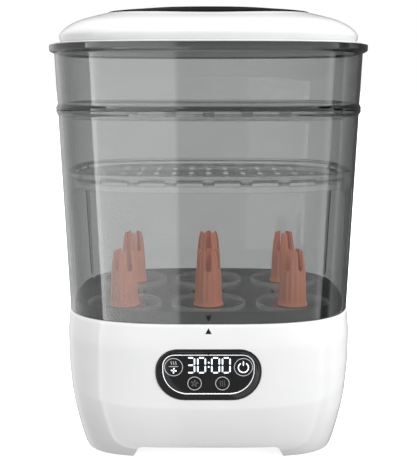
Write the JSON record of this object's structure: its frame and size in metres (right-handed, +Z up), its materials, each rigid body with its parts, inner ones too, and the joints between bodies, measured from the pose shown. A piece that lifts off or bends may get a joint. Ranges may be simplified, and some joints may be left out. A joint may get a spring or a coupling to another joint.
{
  "type": "bottle sterilizer",
  "caption": "Countertop bottle sterilizer and dryer: heated base with touch panel, stacked smoked clear chambers, lift-out trays with bottle prongs and a domed vented lid.",
  "frame": {"origin": "middle of the footprint, on the plane of the rubber feet", "axes": "+Z up through the stack, the control panel faces -Y, +X to the right as seen from the front"},
  "size_m": [0.28, 0.2168, 0.3967],
  "materials": {
    "smoked_clear": "polished, transparent grey",
    "gloss_white": "polished",
    "gloss_black": "polished",
    "coral_plastic": "satin",
    "silver_trim": "satin plated",
    "steel": "brushed",
    "rubber": "matt",
    "silicone": "matt",
    "aluminium_fins": "bare",
    "grey_plastic": "moulded",
    "black_plastic": "moulded",
    "circuit_board": "solder mask",
    "filter_paper": "pleated paper"
  },
  "bodies": {
    "base": {"base_housing": "gloss_white", "base_floor": "grey_plastic", "base_deck": "gloss_white", "rubber_foot_front_left": "rubber", "rubber_foot_front_right": "rubber", "rubber_foot_rear_left": "rubber", "rubber_foot_rear_right": "rubber", "base_screw_front_left": "steel", "base_screw_front_right": "steel", "base_screw_rear_left": "steel", "base_screw_rear_right": "steel", "power_gland": "rubber", "heating_plate": "steel", "plate_seal": "silicone", "heating_element": "steel", "thermostat": "black_plastic", "thermal_fuse": "silicone", "blower_housing": "black_plastic", "fan_shaft": "steel", "fan_motor": "steel", "drying_heater": "aluminium_fins", "air_duct": "grey_plastic", "air_outlet_grille": "gloss_white", "power_board": "circuit_board", "transformer": "black_plastic", "relay": "grey_plastic", "panel_bezel": "gloss_black", "panel_trim": "silver_trim", "panel_lens": "gloss_black", "display_module": "grey_plastic", "control_board": "circuit_board", "touch_pad_mode": "silicone", "touch_pad_power": "silicone", "touch_pad_dry": "silicone", "touch_pad_steam": "silicone"},
    "fan": {"fan_rotor": "grey_plastic"},
    "filter_drawer": {"filter_cover": "gloss_white", "hepa_filter": "filter_paper"},
    "bottle_rack": {"bottle_tray": "smoked_clear", "prong_front_left": "coral_plastic", "prong_front_middle": "coral_plastic", "prong_front_right": "coral_plastic", "prong_rear_left": "coral_plastic", "prong_rear_middle": "coral_plastic", "prong_rear_right": "coral_plastic"},
    "lower_chamber": {"lower_section": "smoked_clear"},
    "accessory_rack": {"accessory_tray": "smoked_clear"},
    "upper_chamber": {"upper_section": "smoked_clear"},
    "upper_rack": {"upper_tray": "smoked_clear"},
    "lid": {"lid_shell": "gloss_white", "lid_insert": "gloss_black", "lid_baffle": "gloss_white"}
  },
  "joints": [
    {"name": "fan_spin", "type": "hinge", "parent": "base", "child": "fan", "pos_m": [-0.017, 0.059, 0.056], "axis": [0, 1, 0], "continuous": true},
    {"name": "filter_drawer_pull", "type": "slide", "parent": "base", "child": "filter_drawer", "axis": [0, 0.9945, -0.1045], "range_m": [0, 0.05]},
    {"name": "bottle_rack_lift", "type": "slide", "parent": "base", "child": "bottle_rack", "axis": [0, 0, 1], "range_m": [0, 0.05]},
    {"name": "lower_chamber_lift", "type": "slide", "parent": "base", "child": "lower_chamber", "axis": [0, 0, 1], "range_m": [0, 0.2]},
    {"name": "accessory_rack_lift", "type": "slide", "parent": "lower_chamber", "child": "accessory_rack", "axis": [0, 0, 1], "range_m": [0, 0.04]},
    {"name": "upper_chamber_lift", "type": "slide", "parent": "lower_chamber", "child": "upper_chamber", "axis": [0, 0, 1], "range_m": [0, 0.12]},
    {"name": "upper_rack_lift", "type": "slide", "parent": "upper_chamber", "child": "upper_rack", "axis": [0, 0, 1], "range_m": [0, 0.05]},
    {"name": "lid_lift", "type": "slide", "parent": "upper_chamber", "child": "lid", "axis": [0, 0, 1], "range_m": [0, 0.12]}
  ]
}
